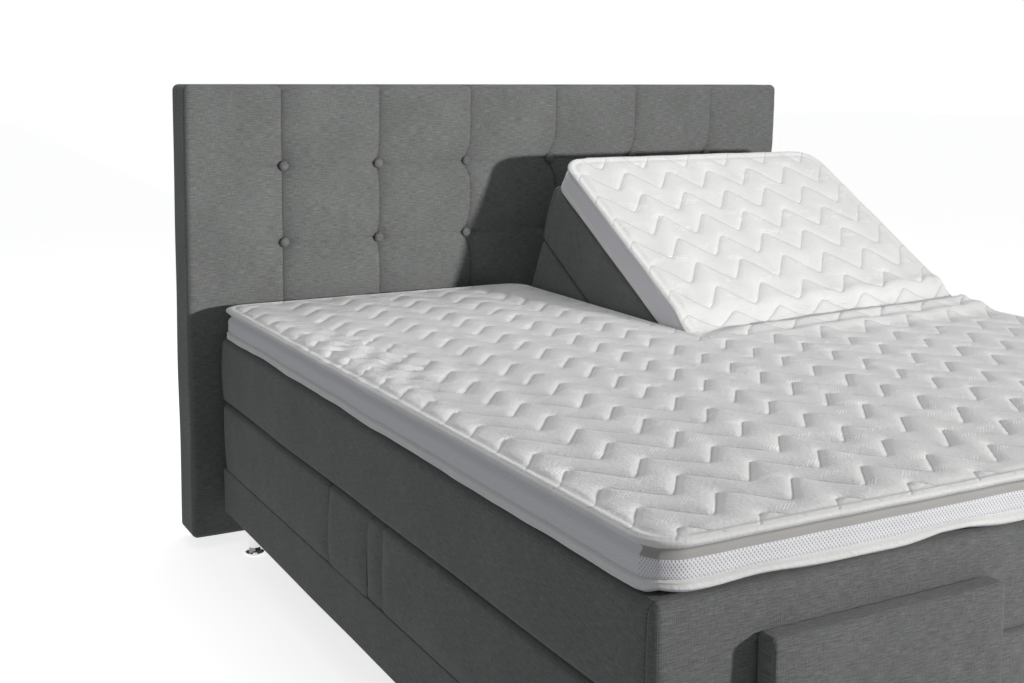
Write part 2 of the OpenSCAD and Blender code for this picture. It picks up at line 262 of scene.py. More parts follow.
def near_line(n, away, half):
    """1 on a quilting line, falling to 0 at a distance of half."""
    values = {"Value": away, "From Max": half, "To Min": 1.0, "To Max": 0.0}
    return n.add("MapRange", values, interpolation_type="SMOOTHSTEP").outputs[0]


def ticking_fabric(name, shade, quilted=False):
    """White stretch knit with a fine pile; the quilted one adds sewn lines, darkened by their thread and by
    painted shade in their grooves, and groups of raised strokes.
    """
    n = Nodes(name)
    knit = n.noise(n.uv(), 420.0, 3.0, 0.6)
    dimples = n.noise(n.uv(), 130.0, 2.0, 0.5)
    cloud = n.noise(n.uv(), 14.0, 3.0, 0.6)
    base = n.ramp(n.times(knit, 0.35, n.times(cloud, 0.65)), [
        (0.30, grey(shade * 0.92, TICKING_TINT)),
        (0.70, grey(shade * 1.03, TICKING_TINT)),
    ])
    pile = n.bump(n.times(dimples, 0.6, n.times(knit, 0.4)), 0.9, 0.0028)
    if not quilted:
        return n.set(Base_Color=base, Roughness=0.82, Normal=pile, Specular_IOR_Level=0.25)
    mask = stroke_groups(n)
    colour = n.mix(n.times(mask, 0.9), base, STROKE_COLOUR)
    away = quilt_away(n)
    groove = near_line(n, away, GROOVE_HALF)
    thread = near_line(n, away, THREAD_HALF)
    # Darkens along the quilting lines: the thread's grey, and painted shade over the width of the sewn groove
    thread_and_groove_shade = n.times(thread, 0.34, n.times(groove, 0.09))
    colour = n.mix(thread_and_groove_shade, colour, THREAD_AND_SHADE_COLOUR)
    sewn = n.bump(groove, 0.40, -0.0026, pile)
    raised = n.bump(mask, 0.8, 0.0016, sewn)
    return n.set(Base_Color=colour, Roughness=0.80, Normal=raised, Specular_IOR_Level=0.25)


def mesh_fabric(name):
    """White three-dimensional spacer mesh: small diamond holes in a knit, painted darker and bluer as the
    shade inside them.
    """
    n = Nodes(name)
    leans = (math.radians(lean) for lean in (MESH_LEAN, -MESH_LEAN))
    holes = n.times(*(n.wave(n.uv(rotation=lean), 1 / MESH_PITCH / math.pi / 2) for lean in leans))
    # The holes' colour paints the shade inside them
    colour = n.ramp(holes, [(0.20, MESH_KNIT), (0.60, MESH_HOLE_SHADE)])
    depth = n.bump(holes, 0.6, -0.0012)
    return n.set(Base_Color=colour, Roughness=0.85, Normal=depth, Specular_IOR_Level=0.2)


def plain_cloth(name, colour, scale):
    """A thin non-woven or tape in one colour, with a fine grain."""
    n = Nodes(name)
    grain = n.noise(n.uv(), scale, 2.0, 0.6)
    low = tuple(c * 0.85 for c in colour)
    high = tuple(min(1, c * 1.12) for c in colour)
    tone = n.ramp(grain, [(0.3, low), (0.7, high)])
    return n.set(Base_Color=tone, Roughness=0.9, Normal=n.bump(grain, 0.3, 0.0006), Specular_IOR_Level=0.2)


def object_material(name, colour, metallic, rough, grain_scale, grain_bump, spread=0.12):
    """Metal, plastic or wood on a rigid CAD part, with fine wear in its colour and gloss."""
    n = Nodes(name)
    place = n.add("TexCoord").outputs["Object"]
    grain = n.noise(place, grain_scale, 4.0, 0.6)
    wear = n.noise(place, 24.0, 3.0, 0.5)
    mixed = n.times(grain, 0.5, n.times(wear, 0.5))
    low = tuple(c * (1 - spread) for c in colour)
    high = tuple(min(1.0, c * (1 + spread)) for c in colour)
    shade = n.ramp(mixed, [(0.35, low), (0.65, high)])
    values = {"Value": wear, "To Min": rough * 0.85, "To Max": min(1.0, rough * 1.2)}
    gloss = n.add("MapRange", values).outputs[0]
    return n.set(Base_Color=shade, Metallic=metallic, Roughness=gloss,
                 Normal=n.bump(grain, grain_bump, 0.0004))


def wood_material(name):
    """Pale solid wood with its grain along X."""
    n = Nodes(name)
    source = n.add("TexCoord").outputs["Object"]
    place = n.add("Mapping", {"Vector": source, "Scale": (1.0, 14.0, 14.0)}).outputs[0]
    rings = n.noise(place, 5.0, 6.0, 0.65)
    colour = n.ramp(rings, [(0.3, (0.42, 0.28, 0.16)), (0.7, (0.68, 0.50, 0.32))])
    return n.set(Base_Color=colour, Roughness=0.65, Normal=n.bump(rings, 0.2, 0.0005))


MATERIALS = {
    "fabric": woven_fabric("grey_upholstery"),
    "ticking": ticking_fabric("white_ticking", TICKING_SHADE),
    "quilt": ticking_fabric("quilted_ticking", QUILT_SHADE, quilted=True),
    # The border's bluish grey is partly its own greyer cloth and partly painted cool shade on the topper's
    # sides
    "border": plain_cloth("topper_border", (0.76, 0.76, 0.80), 500.0),
    "mesh": mesh_fabric("spacer_mesh"),
    # Grey cloth that paints the shade in the foot's recess, under the topper's rolled edge
    "recess": plain_cloth("grey_recess", (0.42, 0.41, 0.40), 900.0),
    "tape": plain_cloth("white_tape", (0.78, 0.78, 0.77), 1200.0),
    "backing": plain_cloth("black_backing", (0.040, 0.040, 0.042), 600.0),
    "steel": object_material("painted_steel", (0.045, 0.045, 0.048), 0.0, 0.42, 900.0, 0.15),
    "chrome": object_material("polished_chrome", (0.86, 0.86, 0.88), 1.0, 0.07, 300.0, 0.01, 0.03),
    "rod": object_material("brushed_rod", (0.58, 0.58, 0.60), 1.0, 0.30, 700.0, 0.10),
    "plastic": object_material("moulded_black_plastic", (0.022, 0.022, 0.024), 0.0, 0.50, 1400.0, 0.25),
    "wood": wood_material("core_wood"),
}


# ----- Mesh helpers
ARC_STEPS = 4  # grid steps along a rounded edge
CLOSEST = 0.0004  # grid places nearer than this are merged
RIM_CELLS = 6  # fine cells kept around a hidden face
COARSE_CELLS = 6  # fine cells joined into one, each way, inside a hidden face
SHARP_ANGLE = math.radians(60)


def arc_places(radius):
    """Distances from an edge that give even steps along its rounding."""
    return [radius * (1 - math.tan(math.pi / 4 * i / ARC_STEPS)) for i in range(ARC_STEPS, -1, -1)]


def spread(low, high, step, low_radii=(), high_radii=(), fixed=()):
    """Grid places from low to high: close together on rounded edges, and through fixed places."""
    places = [low, high] + [place for place in fixed if low < place < high]
    places += [low + d for radius in low_radii for d in arc_places(radius)]
    places += [high - d for radius in high_radii for d in arc_places(radius)]
    marks = sorted({round(place, 6) for place in places})
    kept = [marks[0]]
    for mark in marks[1:]:
        if mark - kept[-1] > CLOSEST:
            kept.append(mark)
    kept[-1] = marks[-1]
    out = [kept[0]]
    for mark in kept[1:]:
        parts = max(1, math.ceil((mark - out[-1]) / step - 0.01))
        start = out[-1]
        out += [start + (mark - start) * (i + 1) / parts for i in range(parts)]
    return np.array(out)


def sheet_cells(sheet, margin, every):
    """Cells of a hidden face: a fine rim joined to coarse cells inside it."""
    na, nb = sheet.shape
    top_a, top_b = na - 1 - margin, nb - 1 - margin
    if every < 2 or min(top_a, top_b) - margin < 2 * every:
        corners = (sheet[:-1, :-1], sheet[1:, :-1], sheet[1:, 1:], sheet[:-1, 1:])
        return np.stack([corner.ravel() for corner in corners], 1).tolist()
    lines_a = list(range(margin, top_a, every)) + [top_a]
    lines_b = list(range(margin, top_b, every)) + [top_b]
    cells = []
    for a0, a1 in zip(lines_a, lines_a[1:]):
        for b0, b1 in zip(lines_b, lines_b[1:]):
            first = range(a0, a1) if b0 == margin else (a0,)
            second = range(b0, b1) if a1 == top_a else (b0,)
            third = range(a1, a0, -1) if b1 == top_b else (a1,)
            fourth = range(b1, b0, -1) if a0 == margin else (b1,)
            cells.append([sheet[a, b0] for a in first] + [sheet[a1, b] for b in second]
                         + [sheet[a, b1] for a in third] + [sheet[a0, b] for b in fourth])
    for a in range(na - 1):
        for b in range(nb - 1):
            if not (margin <= a < top_a and margin <= b < top_b):
                cells.append([sheet[a, b], sheet[a + 1, b], sheet[a + 1, b + 1], sheet[a, b + 1]])
    return cells


def box_grid(xs, ys, zs, hidden=()):
    """The surface of a box: its points, each face's number of corners, the corners, and each face's side
    (0 to 5: low x, high x, low y and so on)."""
    shape = (len(xs), len(ys), len(zs))
    index = -np.ones(shape, int)
    skin = np.zeros(shape, bool)
    for axis in range(3):
        for end in (0, -1):
            place = [slice(None)] * 3
            place[axis] = end
            skin[tuple(place)] = True
    index[skin] = np.arange(skin.sum())
    where = np.argwhere(skin)
    points = np.c_[xs[where[:, 0]], ys[where[:, 1]], zs[where[:, 2]]]
    faces, sides = [], []
    for axis in range(3):
        for end in (0, 1):
            side = axis * 2 + end
            sheet = np.take(index, -end, axis=axis)
            block = sheet_cells(sheet, RIM_CELLS, COARSE_CELLS if side in hidden else 1)
            if (end == 1) == (axis == 1):
                block = [cell[::-1] for cell in block]
            faces += block
            sides += [side] * len(block)
    corners = np.concatenate([np.asarray(face) for face in faces])
    used = np.zeros(len(points), bool)
    used[corners] = True
    lengths = np.array([len(face) for face in faces])
    return points[used], lengths, (np.cumsum(used) - 1)[corners], np.array(sides)


class Cushion:
    """A soft box: q is its flat grid, p its shaped points, n the way each point faces, and up and sideways
    how far it faces that way, from 0 to 1."""

    def __init__(self, low, high, step, edge, corner=0.0, cuts=(), fixed=((), (), ()), z_step=None,
                 hidden=(4,)):
        self.low, self.high = np.array(low, float), np.array(high, float)
        self.cuts = cuts
        radii = (edge, corner) if corner else (edge,)
        y_low = () if "low" in cuts else radii
        y_high = () if "high" in cuts else radii
        xs = spread(low[0], high[0], step, radii, radii, fixed[0])
        ys = spread(low[1], high[1], step, y_low, y_high, fixed[1])
        zs = spread(low[2], high[2], z_step or step, (edge,), (edge,), fixed[2])
        self.q, self.lengths, self.corners, self.sides = box_grid(xs, ys, zs, hidden)
        self.edge, self.corner = edge, corner
        self.shape()

    def beyond(self, axis, radius):
        """How far each point lies past the flat part of the box along an axis, with its sign."""
        v = self.q[:, axis]
        past = np.zeros_like(v)
        if axis != 1 or "low" not in self.cuts:
            past += np.minimum(v - (self.low[axis] + radius), 0)
        if axis != 1 or "high" not in self.cuts:
            past += np.maximum(v - (self.high[axis] - radius), 0)
        return past

    def shape(self):
        """Rounds the box's edges, and its upright corners by their own radius."""
        dx, dy, dz = (self.beyond(axis, self.edge) for axis in range(3))
        h = np.maximum(abs(dx), abs(dy))
        length = np.hypot(h, dz)
        most = np.maximum(h, abs(dz))
        shrink = np.where(length > 1e-9, most / np.maximum(length, 1e-9), 1.0)
        p = self.q.copy()
        for axis, d in enumerate((dx, dy, dz)):
            p[:, axis] += d * (shrink - 1)
        n = np.c_[np.where(abs(dx) >= h - 1e-9, dx, 0), np.where(abs(dy) >= h - 1e-9, dy, 0), dz]
        if self.corner:
            a, b = self.beyond(0, self.corner), self.beyond(1, self.corner)
            both = (abs(a) > 1e-9) & (abs(b) > 1e-9)
            length = np.maximum(np.hypot(a, b), 1e-9)
            pull = np.where(both, 1 - np.maximum(abs(a), abs(b)) / length, 0)
            p[:, 0] -= a * pull
            p[:, 1] -= b * pull
            flat = np.hypot(n[:, 0], n[:, 1])
            n[:, 0] = np.where(both, flat * a / length, n[:, 0])
            n[:, 1] = np.where(both, flat * b / length, n[:, 1])
        self.p = p
        self.n = n / np.maximum(np.linalg.norm(n, axis=1), 1e-9)[:, None]
        self.up = np.clip(self.n[:, 2], 0, 1)
        self.sideways = np.hypot(self.n[:, 0], self.n[:, 1])

    def push(self, amount):
        """Moves each point by amount along the way it faces."""
        self.p += self.n * np.asarray(amount)[:, None]

    def share(self, axis):
        """Each point's place along an axis, from 0 to 1."""
        return (self.q[:, axis] - self.low[axis]) / (self.high[axis] - self.low[axis])

    def face_centres(self):
        """The centre of each face, on the flat grid."""
        starts = np.cumsum(self.lengths) - self.lengths
        return np.add.reduceat(self.q[self.corners], starts, axis=0) / self.lengths[:, None]


def make_object(name, cushions, cloths=("fabric",), slots=None):
    """One mesh object from one or more cushions, with a UV map in metres from their flat grids."""
    parts, base = [], 0
    for c in cushions:
        side = np.repeat(c.sides, c.lengths)
        flat = c.q[c.corners]
        rows = np.arange(len(flat))
        uv = np.c_[flat[rows, np.where(side < 2, 1, 0)], flat[rows, np.where(side > 3, 1, 2)]]
        parts.append((c.p, c.lengths, c.corners + base, uv))
        base += len(c.p)
    points, lengths, corners, uvs = (np.concatenate(part) for part in zip(*parts))
    mesh = bpy.data.meshes.new(name)
    mesh.vertices.add(len(points))
    mesh.vertices.foreach_set("co", points.astype(np.float32).ravel())
    mesh.loops.add(len(corners))
    mesh.loops.foreach_set("vertex_index", corners.astype(np.int32))
    mesh.polygons.add(len(lengths))
    mesh.polygons.foreach_set("loop_start", (np.cumsum(lengths) - lengths).astype(np.int32))
    if slots is not None:
        mesh.polygons.foreach_set("material_index", np.asarray(slots, np.int32))
    mesh.update(calc_edges=True)
    mesh.uv_layers.new(name="metres").data.foreach_set("uv", uvs.astype(np.float32).ravel())
    for key in cloths:
        mesh.materials.append(MATERIALS[key])
    mesh.validate()
    mesh.shade_smooth()
    mesh.set_sharp_from_angle(angle=SHARP_ANGLE)
    return new_object(name, mesh)


def waves(x, y, wavelength, seed, count=7):
    """Smooth random heights from -1 to 1, the same on every run."""
    random = np.random.default_rng(seed)
    total = np.zeros_like(x)
    for _ in range(count):
        angle = random.uniform(0, TURN)
        k = TURN / (wavelength * random.uniform(0.6, 1.7))
        total += np.sin(k * (x * math.cos(angle) + y * math.sin(angle)) + random.uniform(0, 7))
    return total / count ** 0.5 / 1.4


def smooth(value, low, high):
    """0 at low and 1 at high, with a smooth step between them."""
    t = np.clip((value - low) / (high - low), 0, 1)
    return t * t * (3 - 2 * t)


def bump_at(value, centre, width):
    """A bell curve of height 1."""
    return np.exp(-((value - centre) / width) ** 2)


# ----- Bending at rest: the right back section rests at REST, so its soft pieces are drawn bent
def turn_points(points, angle):
    """Points turned about the back hinge by an angle, or by one angle each."""
    y, z = points[:, 1] - Y_BACK, points[:, 2] - Z_HINGE
    c, s = np.cos(angle), np.sin(angle)
    return np.c_[points[:, 0], Y_BACK + y * c - z * s, Z_HINGE + y * s + z * c]


def bend_to_rest(points):
    start, end = RAISED_ZONE
    low, high = np.zeros(len(points)), np.ones(len(points))
    for _ in range(40):
        middle = (low + high) / 2
        reached = smooth(turn_points(points, middle * REST)[:, 1], start, end)
        above = reached > middle
        low = np.where(above, middle, low)
        high = np.where(above, high, middle)
    return turn_points(points, (low + high) / 2 * REST)


def ride_back(obj, side):
    """Puts a flat, rigid piece on the back section of a side."""
    if side == "right":
        hinge = Matrix.Translation((0, Y_BACK, Z_HINGE))
        obj.data.transform(hinge @ Matrix.Rotation(REST, 4, "X") @ hinge.inverted())
    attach(obj, "back_" + side)


def bend_over(obj):
    """Bakes a piece's transform into its mesh."""
    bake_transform(obj)


def blend_back(obj):
    bend_over(obj)


def blend_knee(obj):
    bend_over(obj)


def mirrored(side, low, high):
    """The x range of a piece on one side, from its range on the left."""
    return (low, high) if side == "left" else (-high, -low)


def soft_piece(obj, nodes=()):
    """Hides the CAD nodes that a padded piece stands for, and gives the piece back."""
    if nodes:
        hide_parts(*nodes)
    return obj


# ----- Camera: the photograph's viewing angle
CAMERA_PLACE = (-1.8772, -2.4537, 1.2894)
YAW, PITCH, ROLL = (math.radians(a) for a in (28.602, 6.618, 0.385))
SENSOR_MM, LENS_MM, SHIFT_UP = 36, 46.62, -0.115
CLIP = (0.05, 60)

camera = new_object("camera", bpy.data.cameras.new("camera"))
turn = (Matrix.Rotation(-YAW, 4, "Z") @ Matrix.Rotation(math.pi / 2 - PITCH, 4, "X")
        @ Matrix.Rotation(ROLL, 4, "Z"))
camera.matrix_world = Matrix.Translation(CAMERA_PLACE) @ turn
camera.data.sensor_width = SENSOR_MM
camera.data.lens = LENS_MM
camera.data.shift_y = SHIFT_UP
camera.data.clip_start, camera.data.clip_end = CLIP
bpy.context.scene.camera = camera


# ----- Headboard: a padded front with sewn columns and pulled buttons
PAD_LOW, PAD_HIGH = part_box("headboard_pad")
BUTTON_LOW, BUTTON_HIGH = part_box("headboard_buttons")
BUTTON_R = 0.012
COLUMNS = np.linspace(BUTTON_LOW.x + BUTTON_R, BUTTON_HIGH.x - BUTTON_R, 6)
ROWS = np.linspace(BUTTON_HIGH.z - BUTTON_R, BUTTON_LOW.z + BUTTON_R, 3)
BUTTON_LEAN = (0.010, 0.001, -0.009, -0.016, -0.007, -0.007)
# Depths and widths of the sewn columns, their valleys, the buttons' dents, the pull around them, and creases
SEAM_DEPTH, SEAM_LEFT, SEAM_RIGHT, SEAM_SWAY = 0.0105, 0.0032, 0.013, 0.006
VALLEY_DEPTH, VALLEY_WIDTH = 0.0045, 0.045
DENT_DEPTH, DENT_WIDTH, PULL_DEPTH, PULL_WIDTH = 0.0085, 0.028, 0.0050, 0.10
CREASE_DEPTH, CREASE_WIDTH, CREASE_REACH = 0.0052, 0.0045, 0.16


def make_headboard():
    """The padded front, pulled in along its six columns and at its buttons."""
    near = (0, 0.0015, 0.0035, 0.007, 0.012, 0.018, 0.026, 0.038, 0.055)
    x_lines = sorted({c + s * d for c in COLUMNS for d in near for s in (-1, 1)})
    z_lines = sorted({r + s * d for r in ROWS for d in near for s in (-1, 1)})
    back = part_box("headboard_back_cloth")[0].y
    c = Cushion(PAD_LOW, (PAD_HIGH.x, back, PAD_HIGH.z), 0.014, 0.016, corner=0.016,
                fixed=(x_lines, (), z_lines), hidden=(3,))
    x, y, z = c.q.T
    front = np.clip(-c.n[:, 1], 0, 1)
    over = c.up * smooth(y, back - 0.02, back - 0.07)
    depth, shift = np.zeros((2, len(x)))
    for column, lean in zip(COLUMNS, BUTTON_LEAN):
        d = x - column
        line = np.where(d < 0, np.exp(-abs(d) / SEAM_LEFT), np.exp(-(abs(d) / SEAM_RIGHT) ** 0.9))
        low_end = smooth(z, PAD_LOW.z + 0.02, PAD_LOW.z + 0.15)
        depth += (SEAM_DEPTH * line + VALLEY_DEPTH * bump_at(d, 0, VALLEY_WIDTH)) * low_end
        sway = SEAM_SWAY + sum((lean - SEAM_SWAY) * bump_at(z, row, 0.040) for row in ROWS)
        shift += sway * bump_at(d, 0, 0.03)
        for row in ROWS:
            r = np.hypot(d, (z - row) * 1.05)
            depth += DENT_DEPTH * np.exp(-(r / DENT_WIDTH) ** 1.8) + PULL_DEPTH * bump_at(r, 0, PULL_WIDTH)
            crease = np.exp(-abs(z - row + 0.004 * d / 0.1) / CREASE_WIDTH)
            depth += CREASE_DEPTH * bump_at(d, 0, CREASE_REACH) * crease
    gap = np.min(abs(x[:, None] - COLUMNS[None, :]), axis=1)
    rise = np.min(abs(z[:, None] - ROWS[None, :]), axis=1)
    puff = 0.0035 * smooth(gap, 0, 0.13) * smooth(rise, -0.05, 0.10)
    loose = waves(x, z, 0.30, 11) * 0.0012 + waves(x, z * 2.2, 0.16, 12) * 0.0006
    sides = np.clip(abs(c.n[:, 0]), 0, 1)
    c.p[:, 0] += shift * front
    c.push((puff + loose - depth) * front - depth * 0.55 * over + sides * waves(y, z, 0.5, 13) * 0.0012)
    board = make_object("headboard_cushion", [c])
    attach(board, "root")
    soft_piece(board, ["headboard_pad"])


# A button from its back to its front: radius and depth of each ring
BUTTON_PROFILE = [(0.0, -0.0070), (0.0035, -0.0068), (0.007, -0.0058), (0.0104, -0.0038), (0.0128, -0.0008),
                  (0.0134, 0.0018), (0.0128, 0.0042), (0.0095, 0.0068), (0.0, 0.0078)]
BUTTON_TURNS, BUTTON_SET = 28, 0.0100
CRIMP, CRIMPED = 0.012, (0.010, 0.013)


def make_buttons():
    """Covered buttons: low domes with a tucked rim, sitting in their dents."""
    points, faces = [], []
    front = PAD_LOW.y + BUTTON_SET
    for column in COLUMNS + np.array(BUTTON_LEAN):
        for row in ROWS:
            rings = []
            for radius, depth in BUTTON_PROFILE:
                ring = []
                for k in range(BUTTON_TURNS if radius else 1):
                    a = TURN * k / BUTTON_TURNS
                    tucked = CRIMPED[0] < radius < CRIMPED[1]
                    crimp = 1 + (CRIMP * math.cos(9 * a + column * 40) if tucked else 0)
                    ring.append(len(points))
                    points.append((column + radius * crimp * math.cos(a), front + depth,
                                   row + radius * crimp * math.sin(a)))
                rings.append(ring)
            for one, two in zip(rings, rings[1:]):
                for k in range(BUTTON_TURNS):
                    cell = [one[k % len(one)], one[(k + 1) % len(one)],
                            two[(k + 1) % len(two)], two[k % len(two)]]
                    faces.append(list(dict.fromkeys(cell)))
    mesh = bpy.data.meshes.new("headboard_covered_buttons")
    mesh.from_pydata(points, [], faces)
    uv = mesh.uv_layers.new(name="metres")
    for loop in mesh.loops:
        co = mesh.vertices[loop.vertex_index].co
        uv.data[loop.index].uv = (co.x, co.z)
    mesh.materials.append(MATERIALS["fabric"])
    mesh.shade_smooth()
    obj = new_object("headboard_covered_buttons", mesh)
    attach(obj, "root")
    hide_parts("headboard_buttons")


make_headboard()
make_buttons()


# ----- Upholstered frame rails
RAIL, BEAM = 0.040, 0.060
PLANK, PLANK_T = 0.120, 0.025
RAIL_EDGE, RAIL_STEP, RAIL_LAP = 0.003, 0.03, 0.002


def rail_box(low, high, seed):
    """A board wrapped in fabric."""
    c = Cushion(low, high, RAIL_STEP, RAIL_EDGE, corner=RAIL_EDGE, hidden=())
    c.push(waves(c.q[:, 0] + c.q[:, 1], c.q[:, 2], 0.45, seed) * 0.0006)
    return c


def make_rails(side):
    """Covers of a half's side rails, and of its end rails, leg planks and cross beams."""
    outer = mirrored(side, X_OUT, X_OUT + RAIL)
    inner = mirrored(side, X_IN - RAIL, X_IN)
    left, right = mirrored(side, X_OUT + RAIL - RAIL_LAP, X_IN - RAIL + RAIL_LAP)
    along = [rail_box((x[0], Y_FOOT, Z_RAIL_LOW), (x[1], Y_HEAD, Z_RAIL), 21 + i)
             for i, x in enumerate((outer, inner))]
    across = []
    for end, y in ((-1, Y_FOOT), (1, Y_HEAD)):
        low, high = sorted((y, y - end * RAIL))
        across.append(rail_box((left, low, Z_RAIL_LOW), (right, high, Z_RAIL), 23 + end))
        low, high = sorted((y - end * (RAIL - RAIL_LAP), y - end * PLANK))
        across.append(rail_box((left, low, Z_RAIL_LOW), (right, high, Z_RAIL_LOW + PLANK_T), 25 + end))
    for y in (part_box(f"back_motor_{side}")[0].y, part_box(f"leg_motor_{side}")[1].y - BEAM):
        across.append(rail_box((left, y, Z_RAIL_LOW + RAIL), (right, y + BEAM, Z_RAIL), 27))
    for kind, boards in (("side", along), ("cross", across)):
        obj = make_object(f"{kind}_rail_covers_{side}", boards)
        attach(obj, "root")
        soft_piece(obj, [f"{kind}_rails_{side}"])


# ----- Upholstered section boxes, with a channel for the motors along their underside
CHANNEL, CHANNEL_H = 0.100, 0.130
CHANNEL_END = 0.120
LINE_BACK = Y_BACK + 0.0040
LINE_SEAT = Y_THIGH + 0.0410
LINE_LEG = Y_THIGH - 0.0410
ARC_REACH, ARC_LOW, ARC_FADE = 0.046, Z_DECK - 0.034, 0.09
SLIT = 0.0012
BOX_EDGE, BOX_CORNER, BOX_STEP = 0.015, 0.018, 0.022
WALL = 0.001  # grid places this far apart make the channel's upright walls
CAP_DEPTH = 0.006
HEAD_TUCK = 0.022


def section_cushion(side, y_low, y_high, cuts, z_low, seed):
    """One padded section between two places along the bed, with grid lines along its channel."""
    mid = X_MID if side == "left" else -X_MID
    x = mirrored(side, X_OUT, X_IN)
    channel = [mid + s * (CHANNEL + d) for s in (-1, 1) for d in (0, WALL)]
    foot_end, head_end = Y_FOOT + CHANNEL_END, Y_HEAD - CHANNEL_END
    ends = [foot_end, foot_end - WALL, head_end, head_end + WALL]
    c = Cushion((x[0], y_low, z_low), (x[1], y_high, Z_DECK), BOX_STEP, BOX_EDGE, corner=BOX_CORNER,
                cuts=cuts, fixed=(channel, ends, ()), z_step=0.012, hidden=())
    c.mid = mid
    soften_box(c, seed)
    return c


def soften_box(c, seed):
    """Bulging sides and rounded, slightly uneven fabric; a pinched line where a section is cut."""
    x, y, z = c.q.T
    inner = np.clip(-c.n[:, 0] * np.sign(c.mid), 0, 1)
    rise = np.sin(np.pi * np.clip(c.share(2) * 0.86 + 0.14, 0, 1)) ** 0.8
    bulge = 0.0045 * rise * c.sideways * (1 - 0.75 * inner)
    loose = waves(x + y, z * 1.5, 0.33, seed) * 0.0011 + waves(x + y, z, 0.11, seed + 1) * 0.0004
    pinch = np.zeros(len(x))
    for cut, place in (("low", c.low[1]), ("high", c.high[1])):
        if cut in c.cuts:
            d = abs(y - place)
            pinch += 0.0042 * np.exp(-d / 0.0025) + 0.0008 * bump_at(d, 0, 0.02)
    c.push(bulge + loose * c.sideways - pinch)
    low_edge = c.q[:, 2] < c.low[2] + c.edge
    c.p[low_edge] += (c.q - c.p)[low_edge] * 0.72


def open_channel(c):
    """Lifts the underside to make the motors' channel."""
    y = c.q[:, 1]
    inside = abs(c.q[:, 0] - c.mid) < CHANNEL + WALL / 2
    inside &= (y > Y_FOOT + CHANNEL_END - WALL / 2) & (y < Y_HEAD - CHANNEL_END + WALL / 2)
    floor = c.low[2] + CHANNEL_H
    c.p[:, 2] = np.where(inside & (c.p[:, 2] < floor), floor, c.p[:, 2])


def dish_cap(c, cut):
    """Sets the middle of a cut end back, to clear the hinge leaves behind its lips."""
    place = c.low[1] if cut == "low" else c.high[1]
    on_cap = abs(c.q[:, 1] - place) < 1e-6
    rim = np.minimum(c.q - c.low, c.high - c.q)[:, (0, 2)].min(axis=1)
    amount = CAP_DEPTH * smooth(rim, 0.003, 0.016) * on_cap
    c.p[:, 1] += amount if cut == "low" else -amount


def arc_cut(c):
    """Curves the cut at LINE_SEAT towards the foot where it meets the top, as a shoulder seam."""
    rise = np.clip((c.p[:, 2] - ARC_LOW) / (Z_DECK - ARC_LOW), 0, 1)
    shift = -ARC_REACH * (1 - np.sqrt(1 - rise ** 2 * 0.999))
    y = c.q[:, 1]
    if abs(LINE_SEAT - c.low[1]) < 1e-6:
        stretch = 1 - smooth(y, LINE_SEAT, LINE_SEAT + ARC_FADE)
    else:
        stretch = (y - c.low[1]) / (LINE_SEAT - c.low[1])
    c.p[:, 1] += shift * stretch


def make_section(name, c):
    """The object of a section, without the collapsed faces that lifting its channel leaves."""
    open_channel(c)
    obj = make_object(name, [c])
    mesh = bmesh.new()
    mesh.from_mesh(obj.data)
    bmesh.ops.remove_doubles(mesh, verts=mesh.verts, dist=2e-5)
    bmesh.ops.dissolve_degenerate(mesh, edges=mesh.edges, dist=1e-5)
    mesh.to_mesh(obj.data)
    mesh.free()
    obj.data.update()
    return obj


def make_boxes(side):
    """The padded boxes of a half: back, seat, the gusset beside the thigh hinge, and legs."""
    base = Z_RAIL + 0.001
    back = section_cushion(side, LINE_BACK + SLIT, Y_HEAD - 0.002, ("low",), base, 31)
    # the head end leans in towards its foot, to clear the headboard as the back rises
    back.p[:, 1] -= HEAD_TUCK * (1 - back.share(2)) * smooth(back.q[:, 1], Y_HEAD - 0.18, Y_HEAD)
    dish_cap(back, "low")
    obj = make_section(f"back_section_{side}", back)
    ride_back(obj, side)
    soft_piece(obj, [f"back_box_{side}"])

    seat = section_cushion(side, LINE_SEAT, LINE_BACK - SLIT, ("low", "high"), Z_RAIL, 33)
    arc_cut(seat)
    dish_cap(seat, "high")
    obj = make_section(f"seat_section_{side}", seat)
    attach(obj, "root")
    soft_piece(obj, [f"seat_box_{side}"])

    gusset = section_cushion(side, LINE_LEG, LINE_SEAT, ("low", "high"), base, 35)
    arc_cut(gusset)
    gusset.push(-0.0015 * gusset.sideways)
    obj = make_section(f"thigh_gusset_{side}", gusset)
    bend_over(obj)
    soft_piece(obj, ())

    legs = section_cushion(side, Y_FOOT, LINE_LEG, ("high",), base, 37)
    obj = make_section(f"leg_section_{side}", legs)
    blend_knee(obj)
    soft_piece(obj, [f"thigh_box_{side}", f"calf_box_{side}"])


# ----- Mattresses: one upholstered foam core on each half
# The raised half pushes its topper, and the top of its mattress, up the slope towards the headboard
TOPPER_SLIDE, MATTRESS_LEAN = 0.028, 0.020
CORNER_SEAMS = (Y_FOOT + 0.016, Y_HEAD - 0.016)
SEAM_GRID = (-0.005, -0.002, 0, 0.002, 0.005)


def mattress_cushion(side, y_low, y_high, cuts):
    """A length of a half's mattress, with a sewn seam down its outer side at each corner."""
    x = mirrored(side, X_OUT, X_IN)
    beside = [seam + d for seam in CORNER_SEAMS for d in SEAM_GRID]
    c = Cushion((x[0], y_low, Z_DECK), (x[1], y_high, Z_MATTRESS), 0.018, 0.017, corner=0.014, cuts=cuts,
                fixed=((), beside, ()), z_step=0.012, hidden=(4, 5))
    bulge = 0.0040 * np.sin(np.pi * np.clip(c.share(2), 0, 1)) ** 0.7
    along = c.q[:, 0] + c.q[:, 1]
    loose = waves(along, c.q[:, 2] * 1.4, 0.42, 41) * 0.0013 + waves(along, c.q[:, 2], 0.12, 42) * 0.0004
    sewn = sum(np.exp(-abs(c.q[:, 1] - seam) / 0.002) for seam in CORNER_SEAMS) * abs(c.n[:, 0])
    c.push((bulge + loose) * c.sideways - 0.0032 * sewn)
    return c


